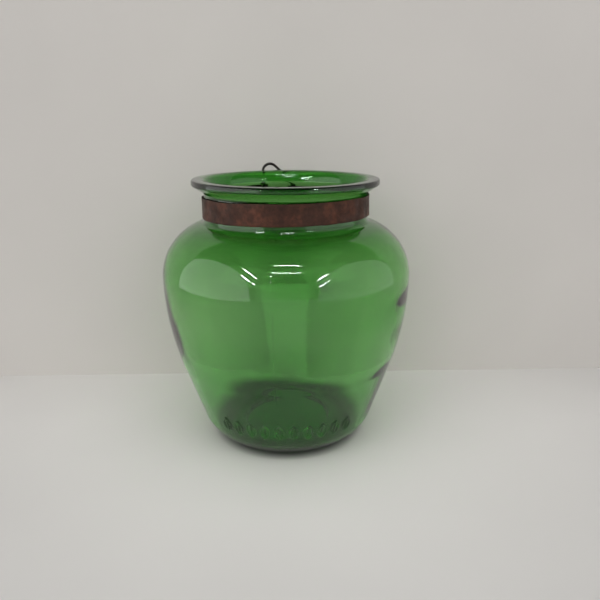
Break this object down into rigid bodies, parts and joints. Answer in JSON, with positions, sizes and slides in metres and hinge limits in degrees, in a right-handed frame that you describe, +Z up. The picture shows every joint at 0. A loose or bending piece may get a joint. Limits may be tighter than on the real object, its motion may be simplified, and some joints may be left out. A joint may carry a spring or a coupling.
{
  "type": "glass wasp trap",
  "caption": "Wide-mouthed round green glass jar with a rolled rim, a copper strip loose round its neck and a wire loop at the back to hang it by.",
  "frame": {"origin": "centre of the ring the jar stands on, at the bottom of the whole object", "axes": "+Z up along the jar's axis, the row of raised marks towards -Y, the strap's open ends and the wire loop towards +Y"},
  "size_m": [0.154, 0.154, 0.1696],
  "materials": {
    "green_glass": "clear bottle-green moulded glass, slightly wavy inside",
    "aged_copper": "thin copper strip with a dull dark-brown patina",
    "dark_iron": "dark annealed iron wire"
  },
  "bodies": {
    "jar": {"glass_jar": "green_glass"},
    "strap": {"neck_strap": "aged_copper"},
    "hanger": {"wire_hanger": "dark_iron"}
  },
  "joints": [
    {"name": "strap_turn", "type": "hinge", "parent": "jar", "child": "strap", "pos_m": [0, 0, 0.14843], "axis": [0, 0, 1], "continuous": true},
    {"name": "hanger_swing", "type": "hinge", "parent": "strap", "child": "hanger", "pos_m": [-0.00006, 0.05515, 0.15437], "axis": [-0.9912, 0.003, 0.1324], "range_deg": [0, 95]}
  ]
}
